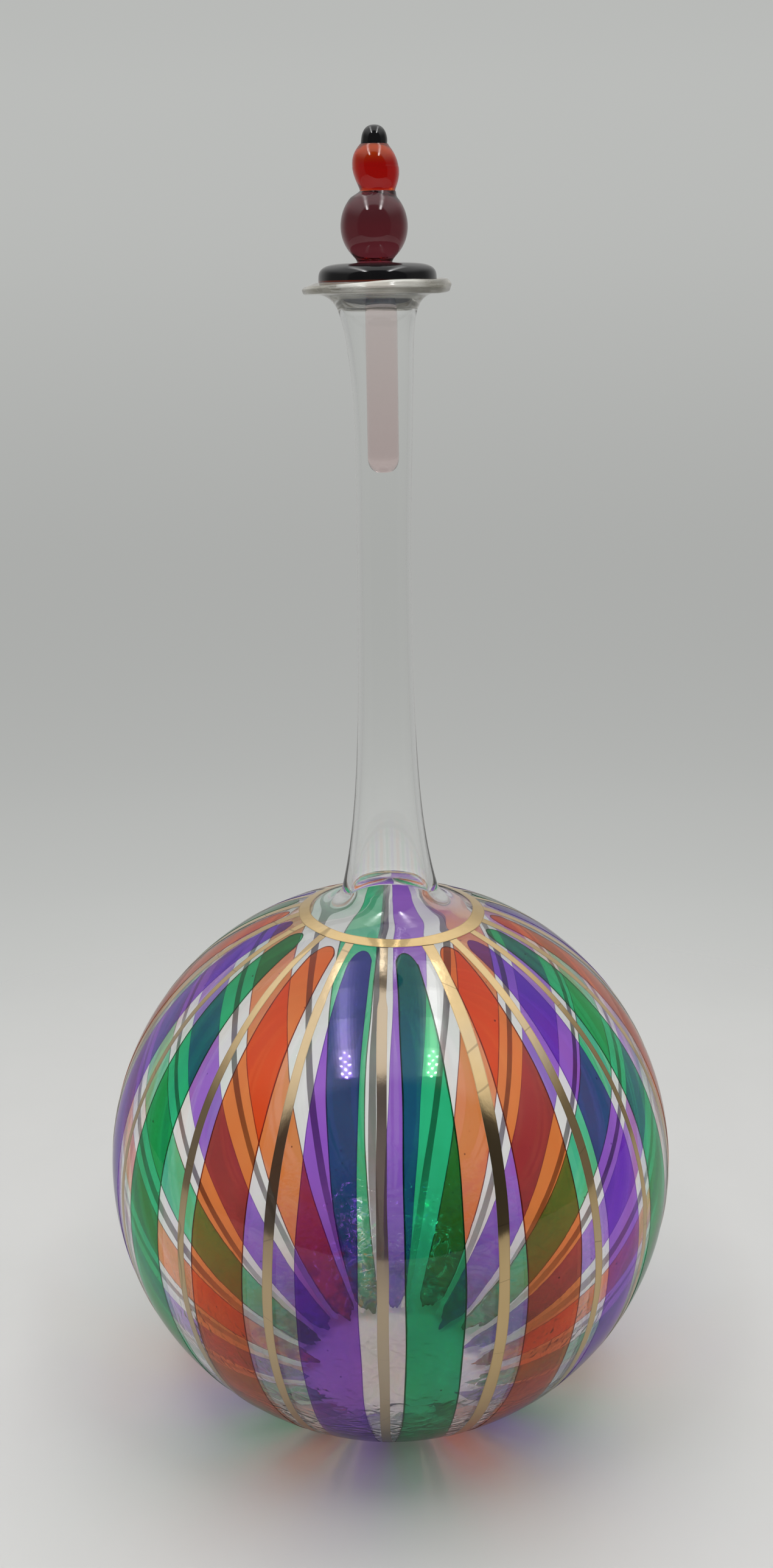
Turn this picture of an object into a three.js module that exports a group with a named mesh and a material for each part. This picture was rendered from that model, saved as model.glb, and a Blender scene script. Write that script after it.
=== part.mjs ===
// A long-necked art glass bottle with a lampworked stopper: a blown globe with gilded lines and
// transparent stained stripes, a drawn neck, a flared lip, and a stopper of stacked glass gathers.
// Millimetres, +Z up. The origin is the centre of the flat foot, and the front looks towards -Y.
import * as THREE from 'three';

// Globe: blown nearly round, flattened underneath to stand
const GLOBE_RADIUS = 61.6;
const GLOBE_HALF_HEIGHT = 60.5;
const GLOBE_WALL = 1.4;
const FOOT_RADIUS = 13.5;
const FOOT_THICKNESS = 1.8;

// Neck: sealed on the shoulder with a small fillet, waisted, and opening again towards the mouth
const NECK_LENGTH = 122.6;
const NECK_WALL = 1.0;
const NECK_FILLET_RADIUS = 14.0;
const NECK_FILLET_HEIGHT = 2.4;
const SHOULDER_FLARE = 6.15;
const SHOULDER_FLARE_LENGTH = 18.5;
const THROAT_FLARE = 1.8;
const THROAT_FLARE_LENGTH = 15.0;

// Lip: a flange folded out by hand, thicker on one side than on the other
const LIP_OVERHANG = 2.8;
const LIP_THICKNESS = 2.1;
const LIP_FLARE_HEIGHT = 2.7;
const LIP_FLARE_WIDTH = 3.2;
const LIP_SEAT_WIDTH = 1.95;
const LIP_SEAT_MARGIN = 0.3;
const LIP_SWELL = 0.6;

// Stopper: a disc that lies on the lip, a rod below it in the neck, two beads and a tip above it
const DISC_RADIUS = 11.35;
const DISC_HEIGHT = 3.5;
const DISC_SQUARENESS = 3.7;
const BOSS_LENGTH = 4.0;
const ROD_RADIUS = 3.1;
const ROD_LENGTH = 31.9;
const ROD_TAPER_LENGTH = 2.9;
const ROD_END_RADIUS = 1.0;
const ROD_CLEARANCE = 1.2;
const LOWER_BEAD_RADIUS = 6.4;
const LOWER_BEAD_BELOW = 6.6;
const LOWER_BEAD_ABOVE = 6.2;
const LOWER_BEAD_FOOT_RADIUS = 3.4;
const UPPER_BEAD_RADIUS = 4.45;
const UPPER_BEAD_BELOW = 4.3;
const UPPER_BEAD_ABOVE = 4.0;
const UPPER_BEAD_FOOT_RADIUS = 3.3;
const TIP_FOOT_RADIUS = 2.5;
const TIP_HEIGHT = 3.4;

// Decoration: gold lines set out round the globe by eye. Each has its bearing in degrees from the front
// towards the right, and the colour of the stained stripe between it and the next line.
const GOLD_LINES = [
  [-2, 'green'], [21, 'orange'], [41, 'purple'], [58, 'green'], [77, 'orange'],
  [95, 'purple'], [114, 'green'], [130, 'purple'], [149, 'orange'], [166, 'purple'],
  [183, 'green'], [200, 'orange'], [220, 'purple'], [239, 'green'], [257, 'orange'],
  [275, 'purple'], [294, 'green'], [317, 'orange'], [337, 'purple'],
];
const GOLD_LINE_WIDTH = 2.0;
const COLLAR_WIDTH = 2.6;
const COLLAR_FROM_NECK = 3.5;
const STRIPE_SHARE = 0.56;
const STRIPE_FROM_COLLAR = 1.8;
const STRIPE_FROM_FOOT = 8.6;
const STRIPE_END_LENGTH = 2.6;
const LINE_FROM_FOOT = 6.0;
const COAT_GAP = 0.3;
const COAT_THICKNESS = 0.3;

// Fineness of the faceted solids
const GLOBE_SIDES = 54;
const GLOBE_RINGS = 14;
const NECK_SIDES = 28;
const LIP_SIDES = 28;
const DISC_SIDES = 28;
const BEAD_SIDES = 22;

const DEG = Math.PI / 180;

const clearGlass = new THREE.MeshStandardMaterial({
  color: 0xe4eae8, roughness: 0.03, metalness: 0, transparent: true, opacity: 0.3,
});
const gold = new THREE.MeshStandardMaterial({ color: 0xb89050, roughness: 0.3, metalness: 1 });
const stains = {
  green: stainedGlass(0x3fae7c),
  orange: stainedGlass(0xd8865c),
  purple: stainedGlass(0x9068c0),
};
const blackGlass = new THREE.MeshStandardMaterial({ color: 0x0c0d0c, roughness: 0.05, metalness: 0 });
const redGlass = stainedGlass(0xc01808);
const amethystGlass = stainedGlass(0x56282f);
const pinkGlass = stainedGlass(0xe6d0d4);

function stainedGlass(color) {
  return new THREE.MeshStandardMaterial({
    color, roughness: 0.06, metalness: 0, transparent: true, opacity: 0.75,
  });
}

function piece(name, geometry, material) {
  const mesh = new THREE.Mesh(geometry, material);
  mesh.name = name;
  return mesh;
}

// Profiles: lists of [radius, height] points

/** Evenly spaced numbers from a to b, both included. */
function steps(a, b, count) {
  return Array.from({ length: count + 1 }, (_, i) => a + ((b - a) * i) / count);
}

/** An outline of [radius, height] points, anticlockwise with the axis on its left, turned about Z. */
function turned(outline, sides) {
  const points = outline.map(([r, z]) => new THREE.Vector2(r, z));
  return new THREE.LatheGeometry(points, sides).rotateX(Math.PI / 2);
}

/** A stretch of an ellipse about a centre, from one angle to another, in degrees from level. */
function arc(centreRadius, centreHeight, halfWidth, halfHeight, fromDeg, toDeg, count) {
  return steps(fromDeg, toDeg, count).map((a) => [
    centreRadius + halfWidth * Math.cos(a * DEG),
    centreHeight + halfHeight * Math.sin(a * DEG),
  ]);
}

// Globe: a spheroid cut flat at the foot, with its widest level at globeMiddle
const globeMiddle = GLOBE_HALF_HEIGHT * Math.sqrt(1 - (FOOT_RADIUS / GLOBE_RADIUS) ** 2);

/** The point at a polar angle, in degrees from the top, at a distance outside the glass. */
function onGlobe(polarDeg, outside = 0) {
  const r = (GLOBE_RADIUS + outside) * Math.sin(polarDeg * DEG);
  const z = globeMiddle + (GLOBE_HALF_HEIGHT + outside) * Math.cos(polarDeg * DEG);
  return [r, z];
}

/** The polar angle, in degrees from the top, at which the upper globe has this radius. */
function polarAt(radius, outside = 0) {
  return Math.asin(radius / (GLOBE_RADIUS + outside)) / DEG;
}

// The rings of the faceted globe. The coats share them, so that a coat lies evenly off the glass.
const globeRings = steps(polarAt(NECK_FILLET_RADIUS), 180 - polarAt(FOOT_RADIUS), GLOBE_RINGS);

const neckSeat = onGlobe(globeRings[0])[1];
const neckTop = neckSeat + NECK_LENGTH;
const lipTop = neckTop + LIP_FLARE_HEIGHT + LIP_THICKNESS;
const waistRadius = ROD_RADIUS + ROD_CLEARANCE + NECK_WALL;

/** The outside radius of the neck: a waist with one flare that dies away upwards and one downwards. */
function neckRadius(z) {
  const shoulder = SHOULDER_FLARE * Math.exp((neckSeat - z) / SHOULDER_FLARE_LENGTH);
  const throat = THROAT_FLARE * Math.exp((z - neckTop) / THROAT_FLARE_LENGTH);
  return waistRadius + shoulder + throat;
}

const boreRadius = (z) => neckRadius(z) - NECK_WALL;

function globe() {
  const floorPolar = Math.acos((FOOT_THICKNESS - globeMiddle) / (GLOBE_HALF_HEIGHT - GLOBE_WALL)) / DEG;
  const inner = steps(polarAt(boreRadius(neckSeat), -GLOBE_WALL), floorPolar, GLOBE_RINGS - 1);
  return turned([
    [0, 0],
    ...globeRings.map((polar) => onGlobe(polar)).reverse(),
    [boreRadius(neckSeat), neckSeat],
    ...inner.map((polar) => onGlobe(polar, -GLOBE_WALL)),
    [0, FOOT_THICKNESS],
  ], GLOBE_SIDES);
}

function neckTube() {
  const filletTop = neckSeat + NECK_FILLET_HEIGHT;
  const fillet = new THREE.QuadraticBezierCurve(
    new THREE.Vector2(NECK_FILLET_RADIUS, neckSeat),
    new THREE.Vector2(neckRadius(neckSeat), neckSeat + NECK_FILLET_HEIGHT / 4),
    new THREE.Vector2(neckRadius(filletTop), filletTop),
  ).getPoints(4).map((p) => [p.x, p.y]);
  // The levels lie close together at both flares and far apart at the waist.
  const levels = (from, count) => steps(0, 1, count)
    .map((t) => THREE.MathUtils.lerp(from, neckTop, (t + THREE.MathUtils.smoothstep(t, 0, 1)) / 2));
  const outside = levels(filletTop, 13).slice(1).map((z) => [neckRadius(z), z]);
  const inside = levels(neckSeat, 12).reverse().map((z) => [boreRadius(z), z]);
  return turned([...fillet, ...outside, ...inside, fillet[0]], NECK_SIDES);
}

/** The flange in one direction: its outline is carried round, thicker towards +X than towards -X. */
function lipOutline(angle) {
  const flangeFloor = neckTop + LIP_FLARE_HEIGHT;
  const rimThickness = LIP_THICKNESS + LIP_SWELL * Math.cos(angle);
  const seatRadius = DISC_RADIUS + LIP_SEAT_MARGIN;
  const mouthRadius = DISC_RADIUS - LIP_SEAT_WIDTH;
  const funnelWidth = mouthRadius - boreRadius(neckTop);
  const under = arc(neckRadius(neckTop) + LIP_FLARE_WIDTH, neckTop, LIP_FLARE_WIDTH, LIP_FLARE_HEIGHT,
    180, 90, 4);
  const rim = arc(DISC_RADIUS + LIP_OVERHANG - rimThickness / 2, flangeFloor + rimThickness / 2,
    rimThickness / 2, rimThickness / 2, -90, 90, 5);
  const funnel = arc(mouthRadius, neckTop, funnelWidth, lipTop - neckTop, 90, 180, 4);
  return [...under, ...rim, [seatRadius, lipTop], ...funnel];
}

/** A closed outline that changes with the angle, carried once round the Z axis. */
function carriedRound(outlineAt, sides) {
  const rings = steps(0, 2 * Math.PI, sides).slice(0, sides);
  const positions = rings.flatMap((angle) => outlineAt(angle)
    .flatMap(([r, z]) => [r * Math.cos(angle), r * Math.sin(angle), z]));
  const count = outlineAt(0).length;
  const faces = rings.flatMap((_, i) => steps(0, count - 1, count - 1).flatMap((j) => {
    const next = (i + 1) % sides;
    const up = (j + 1) % count;
    const [a, b, c, d] = [i * count + j, next * count + j, next * count + up, i * count + up];
    return [a, b, c, a, c, d];
  }));
  return new THREE.BufferGeometry()
    .setAttribute('position', new THREE.Float32BufferAttribute(positions, 3))
    .setIndex(faces);
}

// Decoration: thin coats that lie just off the glass

/** A coat on the globe along a list of polar angles, each with its half width in degrees round. */
function coat(centreDeg, rows, columns) {
  const point = (polarDeg, roundDeg, outside) => {
    const [r, z] = onGlobe(polarDeg, outside);
    const round = (centreDeg + roundDeg - 90) * DEG;
    return [r * Math.cos(round), r * Math.sin(round), z];
  };
  const across = steps(-1, 1, columns);
  const side = (outside) => rows.flatMap(([polar, half]) => across
    .flatMap((share) => point(polar, share * half, outside)));
  const width = columns + 1;
  const under = rows.length * width;
  const faces = [];
  const quad = (a, b, c, d) => faces.push(a, b, c, a, c, d);
  for (let i = 0; i + 1 < rows.length; i++) {
    const here = i * width;
    const below = here + width;
    for (let j = 0; j < columns; j++) {
      quad(below + j, below + j + 1, here + j + 1, here + j);
      quad(under + here + j, under + here + j + 1, under + below + j + 1, under + below + j);
    }
    quad(under + here, under + below, below, here);
    quad(here + columns, below + columns, under + below + columns, under + here + columns);
  }
  const last = under - width;
  for (let j = 0; j < columns; j++) {
    quad(j, j + 1, under + j + 1, under + j);
    quad(under + last + j, under + last + j + 1, last + j + 1, last + j);
  }
  return new THREE.BufferGeometry()
    .setAttribute('position', new THREE.Float32BufferAttribute(
      [...side(COAT_GAP + COAT_THICKNESS), ...side(COAT_GAP)], 3))
    .setIndex(faces);
}

/** A length along the globe's surface as degrees of polar angle. */
const along = (length) => length / GLOBE_RADIUS / DEG;

/** The polar angles of a coat's rows: its two ends and the globe's rings between them. */
function coatRows(top, foot) {
  const least = along(COAT_GAP);
  return [top, ...globeRings.filter((polar) => polar > top + least && polar < foot - least), foot];
}

const collarTop = polarAt(NECK_FILLET_RADIUS) + along(COLLAR_FROM_NECK);
const collarFoot = collarTop + along(COLLAR_WIDTH);
const footEdge = 180 - polarAt(FOOT_RADIUS);

function goldCollar() {
  const outside = COAT_GAP + COAT_THICKNESS;
  const corners = [
    onGlobe(collarFoot, COAT_GAP),
    onGlobe(collarFoot, outside),
    onGlobe(collarTop, outside),
    onGlobe(collarTop, COAT_GAP),
  ];
  return turned([...corners, corners[0]], GLOBE_SIDES);
}

function goldLine(centreDeg) {
  const rows = coatRows(collarFoot + along(COAT_GAP), footEdge - along(LINE_FROM_FOOT))
    .map((polar) => [polar, GOLD_LINE_WIDTH / 2 / onGlobe(polar)[0] / DEG]);
  return coat(centreDeg, rows, 1);
}

function stainedStripe(centreDeg, gapDeg) {
  const half = (gapDeg * STRIPE_SHARE) / 2;
  const top = collarFoot + along(STRIPE_FROM_COLLAR);
  const foot = footEdge - along(STRIPE_FROM_FOOT);
  const round = along(STRIPE_END_LENGTH);
  // Each end is rounded off: two narrower rows lead to the full width.
  const end = [[0, 0.45], [0.35, 0.8]];
  const rows = [
    ...end.map(([depth, share]) => [top + depth * round, share * half]),
    ...coatRows(top + round, foot - round).map((polar) => [polar, half]),
    ...end.toReversed().map(([depth, share]) => [foot - depth * round, share * half]),
  ];
  return coat(centreDeg, rows, 2);
}

// Stopper, in its own frame: height 0 is the underside of the disc, where it lies on the lip

function stopperDisc() {
  // The crown is a superellipse, from the rim at the lip to the foot of the bead.
  const crownWidth = DISC_RADIUS - LOWER_BEAD_FOOT_RADIUS;
  const crown = arc(0, 0, 1, 1, 0, 90, 8).map(([level, upright]) => [
    LOWER_BEAD_FOOT_RADIUS + crownWidth * Math.max(level, 0) ** (2 / DISC_SQUARENESS),
    DISC_HEIGHT * upright ** (2 / DISC_SQUARENESS),
  ]);
  return turned([
    [0, -BOSS_LENGTH],
    [ROD_RADIUS, -BOSS_LENGTH],
    [ROD_RADIUS, 0],
    ...crown,
    [0, DISC_HEIGHT],
  ], DISC_SIDES);
}

function stopperRod() {
  const top = -BOSS_LENGTH;
  const foot = top - ROD_LENGTH;
  const end = arc(ROD_END_RADIUS, foot + ROD_TAPER_LENGTH, ROD_RADIUS - ROD_END_RADIUS, ROD_TAPER_LENGTH,
    -90, 0, 4);
  return turned([[0, foot], ...end, [ROD_RADIUS, top], [0, top]], BEAD_SIDES);
}

/** A bead between two waists: from each waist it swells to its widest level as a sine does. */
function bead(foot, below, above, radius, footRadius, topRadius) {
  const top = foot + below + above;
  const swell = steps(0, 90, 5).map((angle) => [Math.sin(angle * DEG), angle / 90]);
  const lower = swell.map(([out, rise]) => [footRadius + (radius - footRadius) * out, foot + below * rise]);
  const upper = swell.map(([out, fall]) => [topRadius + (radius - topRadius) * out, top - above * fall]);
  return turned([[0, foot], ...lower, ...upper.toReversed().slice(1), [0, top]], BEAD_SIDES);
}

function stopperTip(foot) {
  return turned([[0, foot], ...arc(0, foot, TIP_FOOT_RADIUS, TIP_HEIGHT, 0, 90, 6)], BEAD_SIDES);
}

function bottle() {
  const group = new THREE.Group();
  group.add(piece('globe', globe(), clearGlass));
  group.add(piece('neck_tube', neckTube(), clearGlass));
  group.add(piece('lip_wrap', carriedRound(lipOutline, LIP_SIDES), clearGlass));
  group.add(piece('gold_collar', goldCollar(), gold));
  const painted = { green: 0, orange: 0, purple: 0 };
  GOLD_LINES.forEach(([lineDeg, colour], i) => {
    const [nextDeg] = GOLD_LINES[(i + 1) % GOLD_LINES.length];
    const gapDeg = (nextDeg - lineDeg + 360) % 360;
    const stripe = stainedStripe(lineDeg + gapDeg / 2, gapDeg);
    painted[colour] += 1;
    group.add(piece(`gold_line_${i + 1}`, goldLine(lineDeg), gold));
    group.add(piece(`${colour}_stripe_${painted[colour]}`, stripe, stains[colour]));
  });
  return group;
}

function stopper() {
  const group = new THREE.Group();
  const upperFoot = DISC_HEIGHT + LOWER_BEAD_BELOW + LOWER_BEAD_ABOVE;
  const tipFoot = upperFoot + UPPER_BEAD_BELOW + UPPER_BEAD_ABOVE;
  group.add(piece('stopper_disc', stopperDisc(), blackGlass));
  group.add(piece('stopper_rod', stopperRod(), pinkGlass));
  group.add(piece('stopper_lower_bead', bead(DISC_HEIGHT, LOWER_BEAD_BELOW, LOWER_BEAD_ABOVE,
    LOWER_BEAD_RADIUS, LOWER_BEAD_FOOT_RADIUS, UPPER_BEAD_FOOT_RADIUS), amethystGlass));
  group.add(piece('stopper_upper_bead', bead(upperFoot, UPPER_BEAD_BELOW, UPPER_BEAD_ABOVE,
    UPPER_BEAD_RADIUS, UPPER_BEAD_FOOT_RADIUS, TIP_FOOT_RADIUS), redGlass));
  group.add(piece('stopper_tip', stopperTip(tipFoot), blackGlass));
  group.position.z = lipTop;
  return group;
}

const artGlassBottle = new THREE.Group();
artGlassBottle.add(bottle(), stopper());

export default artGlassBottle;
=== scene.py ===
"""The looks of a long-necked art glass bottle with a lampworked stopper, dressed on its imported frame.

Shapes are worked out in millimetres and put into meshes in metres. A bearing is an angle round the
bottle, 0 at the front (-Y) and growing towards +X, and a polar angle is measured from the globe's top.
"""
import math

import bpy
import numpy as np
from mathutils import Matrix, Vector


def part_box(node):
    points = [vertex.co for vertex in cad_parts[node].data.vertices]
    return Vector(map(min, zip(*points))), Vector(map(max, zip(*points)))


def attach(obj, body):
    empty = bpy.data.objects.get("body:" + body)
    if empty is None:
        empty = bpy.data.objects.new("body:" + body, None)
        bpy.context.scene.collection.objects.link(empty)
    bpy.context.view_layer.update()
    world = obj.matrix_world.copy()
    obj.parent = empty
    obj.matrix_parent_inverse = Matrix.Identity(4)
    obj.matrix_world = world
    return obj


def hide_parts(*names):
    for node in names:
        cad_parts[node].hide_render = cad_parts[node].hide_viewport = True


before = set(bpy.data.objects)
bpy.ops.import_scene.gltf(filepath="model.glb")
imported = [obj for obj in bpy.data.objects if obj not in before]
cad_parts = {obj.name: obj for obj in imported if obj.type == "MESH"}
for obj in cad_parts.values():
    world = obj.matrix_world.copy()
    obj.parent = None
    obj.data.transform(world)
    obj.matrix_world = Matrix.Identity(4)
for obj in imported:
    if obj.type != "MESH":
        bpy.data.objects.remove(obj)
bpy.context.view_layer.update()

MM = 0.001


def node_box(node):
    """The lowest and highest corner of a frame node at rest, in millimetres."""
    lo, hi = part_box(node)
    return np.array(lo) / MM, np.array(hi) / MM


# Globe and neck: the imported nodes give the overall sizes, and these give the blown form
GLOBE_HALF_HEIGHT = 60.5
GLOBE_WALL = 1.25
FOOT_RADIUS = 13.5
FOOT_THICKNESS = 1.8
NECK_WALL = 1.0
NECK_FILLET_RADIUS = 14.0
NECK_FOOT_HEIGHT = 4.5
SHOULDER_OUTSIDE = 17.6
THROAT_OUTSIDE = 16.8
THROAT_PINCH = 1.1
THROAT_PINCH_LENGTH = 14.0
SHOULDER_FLARE = 6.15
SHOULDER_FLARE_LENGTH = 18.5
THROAT_FLARE = 1.8
THROAT_FLARE_LENGTH = 15.0
MOUTH_FLARE = 0.7
MOUTH_FLARE_LENGTH = 2.5
ROD_CLEARANCE = 1.2
LIP_OVERHANG = 2.8
LIP_THICKNESS = 2.1
LIP_FLARE_HEIGHT = 2.7
LIP_FLARE_WIDTH = 4.2
LIP_FLARE_START = 30
LIP_SEAT_WIDTH = 1.95
LIP_SEAT_MARGIN = 0.3
RIM_THICKNESS = 2.1
RIM_UNEVENNESS = 0.65
SWAY = 0.6
SEAT_SWAY = 0.35
SEAT_SWAY_LENGTH = 9
MOUTH_SWAY = 0.3
MOUTH_SWAY_HEIGHT = 218
MOUTH_SWAY_LENGTH = 18

GLOBE_RADIUS = node_box("globe")[1].max(initial=0, where=[True, True, False])
NECK_SEAT = node_box("globe")[1][2]
NECK_TOP = node_box("neck_tube")[1][2]
LIP_TOP = NECK_TOP + LIP_FLARE_HEIGHT + LIP_THICKNESS
ROD_RADIUS = 3.1
WAIST_RADIUS = ROD_RADIUS + ROD_CLEARANCE + NECK_WALL
GLOBE_MIDDLE = GLOBE_HALF_HEIGHT * math.sqrt(1 - (FOOT_RADIUS / GLOBE_RADIUS) ** 2)

# Stopper
DISC_RADIUS = 11.35
DISC_HEIGHT = 3.5
DISC_SQUARENESS = 3.7
BOSS_LENGTH = 2.7
LOWER_BEAD_RADIUS = 6.4
LOWER_BEAD_BELOW = 6.6
LOWER_BEAD_FOOT_RADIUS = 3.4
LOWER_BEAD_SINKS = (0.2, 0.85)
LOWER_BEAD_SHIFT = -0.28
UPPER_BEAD_RADIUS = 4.35
UPPER_BEAD_BELOW = 4.3
UPPER_BEAD_FOOT_RADIUS = 3.3
UPPER_BEAD_SINKS = (0.85, 0.8)
UPPER_BEAD_STEP = 0.75
UPPER_BEAD_LEAN = 0.6
TIP_FOOT_RADIUS = 2.5
TIP_POWER = 0.82
TIP_STEP = 0.12
DISC_SHIFT = 0.2
ROD_SHIFT = 0.8
ROD_TAPER = 2.9
ROD_END_RADIUS = 1.0

# Decoration, given row by row. Each row has a gold line's bearing, lean and width, then the colour of the
# stripe to its right and the bearing of its middle, its lean and its half width. Bearings are in degrees
# at the equator, a lean is how far they change from the top to the equator, and widths of lines are in
# millimetres.
PAINTED = (
    (-1.9, -0.4, 2.1, "green", 7.7, -1.8, 5.5),
    (20.2, -4.8, 2.5, "orange", 30.8, -1.2, 6.1),
    (41.3, 0.3, 2.0, "purple", 49.6, 0.6, 5.1),
    (57.7, -0.3, 1.6, "green", 65.5, -2.0, 5.3),
    (76.5, 0.5, 1.9, "orange", 86.0, 0.5, 5.2),
    (95.5, 0.3, 2.2, "purple", 106.0, -0.5, 5.1),
    (114.0, 0.0, 1.6, "green", 122.9, 0.4, 5.6),
    (130.1, -0.3, 1.4, "purple", 140.3, 0.3, 5.3),
    (149.0, -0.6, 1.5, "orange", 157.1, 0.6, 5.4),
    (166.3, 8.0, 1.8, "purple", 175.4, 4.0, 4.3),
    (183.4, 5.0, 2.0, "green", 190.0, 8.0, 5.3),
    (200.3, 1.0, 1.8, "orange", 211.0, 1.5, 5.6),
    (220.2, 0.0, 1.6, "purple", 229.9, 0.3, 4.9),
    (239.4, -0.4, 1.5, "green", 247.6, 0.0, 5.4),
    (257.0, 0.4, 2.1, "orange", 266.0, -0.6, 5.2),
    (275.0, -0.3, 1.9, "purple", 284.6, 2.2, 5.2),
    (294.2, 1.4, 1.5, "green", 304.5, 2.2, 5.8),
    (317.7, 2.6, 1.8, "orange", 326.0, -0.8, 6.1),
    (337.2, 0.6, 2.0, "purple", 348.2, 1.5, 5.6),
)
# How thin the gold of a few lines is, from 0 to 1
THIN_LINES = {1: 0.8, 19: 0.4, 18: 0.2}
FILM_LOW = 0.035
FILM_HIGH = 0.075
GOLD_LOW = 0.04
GOLD_HIGH = 0.1
COLLAR_LOW = 0.12
COLLAR_HIGH = 0.19
COLLAR_WIDTH = 2.6
COLLAR_FROM_NECK = 3.5
COLLAR_SHIFT = 1.1

TURN = 2 * math.pi


# Meshes


def ring_faces(rings, around, closed=False):
    """Quads between neighbouring rings of points: each ring is closed, and the row of rings may be."""
    i = np.arange(rings if closed else rings - 1)[:, None]
    j = np.arange(around)[None, :]
    here, there = i * around, (i + 1) % rings * around
    side = (j + 1) % around
    return np.stack([here + j, here + side, there + side, there + j], -1).reshape(-1, 4)


def pole_faces(first, last, around, count):
    """Triangles from a point below the first ring and a point above the last ring to those rings."""
    j = np.arange(around)
    side = (j + 1) % around
    low = np.stack([np.full(around, count), first + side, first + j], -1)
    high = np.stack([np.full(around, count + 1), last + j, last + side], -1)
    return np.concatenate([low, high])


def signed_volume(points, faces):
    """Six times the volume inside the faces: the sum of the corners' triple products."""
    a, b, c = (points[faces[:, k]] for k in range(3))
    return np.einsum("ij,ij->", a, np.cross(b, c))


def closed_mesh(name, points, quads, triangles=None, crease=40, **attributes):
    """A mesh in metres from points in millimetres, turned outwards, smooth between its creases."""
    triangles = np.empty((0, 3), int) if triangles is None else triangles
    split = np.concatenate([quads[:, [0, 1, 2]], quads[:, [0, 2, 3]], triangles])
    step = 1 if signed_volume(points, split) > 0 else -1
    mesh = bpy.data.meshes.new(name)
    faces = quads[:, ::step].tolist() + triangles[:, ::step].tolist()
    mesh.from_pydata((points * MM).tolist(), [], faces)
    mesh.shade_smooth()
    mesh.set_sharp_from_angle(angle=math.radians(crease))
    for label, values in attributes.items():
        layer = mesh.attributes.new(label, "FLOAT", "POINT")
        layer.data.foreach_set("value", np.ascontiguousarray(values, np.float32).ravel())
    mesh.validate()
    return mesh


def around_axis(radius, height, bearing):
    """Points at a radius and height in a bearing: x = r sin b, y = -r cos b."""
    radius, height, bearing = np.broadcast_arrays(radius, height, bearing)
    return np.stack([radius * np.sin(bearing), -radius * np.cos(bearing), height], -1)


def turned_mesh(name, radius, height, sides, shift=0.0, **settings):
    """A profile carried round the axis. Radius and height are rows of points, the same at every bearing
    or with one column for each, shift moves them to the right, and both end rows close on the axis."""
    bearing = np.linspace(0, TURN, sides, endpoint=False)[None, :]
    radius, height, shift = (np.asarray(a, float) for a in (radius, height, shift))
    rings = around_axis(radius, height, bearing)
    rings[..., 0] += shift
    points = np.concatenate([rings.reshape(-1, 3), rings[[0, -1]].mean(1)])
    count = len(radius) * sides
    quads = ring_faces(len(radius), sides)
    return closed_mesh(name, points, quads, pole_faces(0, count - sides, sides, count), **settings)


def piece(name, mesh, material, body, slot, *nodes):
    """A visible piece that stands for frame nodes and rides on a body."""
    obj = bpy.data.objects.new(name, mesh)
    bpy.context.scene.collection.objects.link(obj)
    mesh.materials.append(material)
    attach(obj, body)
    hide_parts(*nodes)
    return obj


# Curves of the glass, as [radius, height] columns in millimetres


def smooth(low, high, x):
    """0 below low, 1 above high and an S-shaped cubic between them."""
    t = np.clip((x - low) / (high - low), 0, 1)
    return t * t * (3 - 2 * t)


def on_globe(polar, outside=0.0):
    """A point of the spheroid at a polar angle, moved outwards along its half axes."""
    radius = (GLOBE_RADIUS + outside) * np.sin(polar)
    height = GLOBE_MIDDLE + (GLOBE_HALF_HEIGHT + outside) * np.cos(polar)
    return radius, height


def polar_at(radius, outside=0.0):
    """The polar angle at which the upper globe has this radius."""
    return math.asin(radius / (GLOBE_RADIUS + outside))


def neck_radius(height):
    """The neck's outside: a waist plus flares that die away exponentially, one upwards and two downwards."""
    shoulder = SHOULDER_FLARE * np.exp((NECK_SEAT - height) / SHOULDER_FLARE_LENGTH)
    throat = THROAT_FLARE * np.exp((height - NECK_TOP) / THROAT_FLARE_LENGTH)
    mouth = MOUTH_FLARE * np.exp((height - NECK_TOP) / MOUTH_FLARE_LENGTH)
    return WAIST_RADIUS + shoulder + throat + mouth


def ellipse(centre_radius, centre_height, half_width, half_height, start, stop, count):
    """A stretch of an ellipse between two angles in degrees from level."""
    angle = np.radians(np.linspace(start, stop, count))[:, None]
    return centre_radius + half_width * np.cos(angle), centre_height + half_height * np.sin(angle)


def bend(start, corner, stop, count):
    """A cubic Bezier curve that leaves start straight for the corner and comes from it to stop: its second
    control point lies halfway to the corner, and its third on it."""
    t = np.linspace(0, 1, count)[:, None]
    share = 1.5 * t * (1 - t) ** 2
    weights = (1 - t) ** 3 + share, share + 3 * t ** 2 * (1 - t), t ** 3
    return tuple(sum(w * p[k] for w, p in zip(weights, (start, corner, stop))) for k in (0, 1))


def bore_radius(height):
    """The neck's inside: its wall is thickest at the shoulder, where the bore is pinched, exponentially."""
    pinch = THROAT_PINCH * np.exp((NECK_SEAT - height) / THROAT_PINCH_LENGTH)
    return neck_radius(height) - NECK_WALL - pinch


def neck_join(side, radius, inset, margin):
    """Where the globe runs into the neck, outside or inside: from a radius on the globe's face, which lies
    inset from its outer one, along its tangent to just short of the neck's side, and up to the neck."""
    polar = polar_at(radius, -inset)
    start = on_globe(polar, -inset)
    top = NECK_SEAT + NECK_FOOT_HEIGHT
    near = side(top) + margin
    slope = math.tan(polar) * (GLOBE_HALF_HEIGHT - inset) / (GLOBE_RADIUS - inset)
    return bend(start, (near, start[1] + slope * (radius - near)), (side(top), top), 32)


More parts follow.
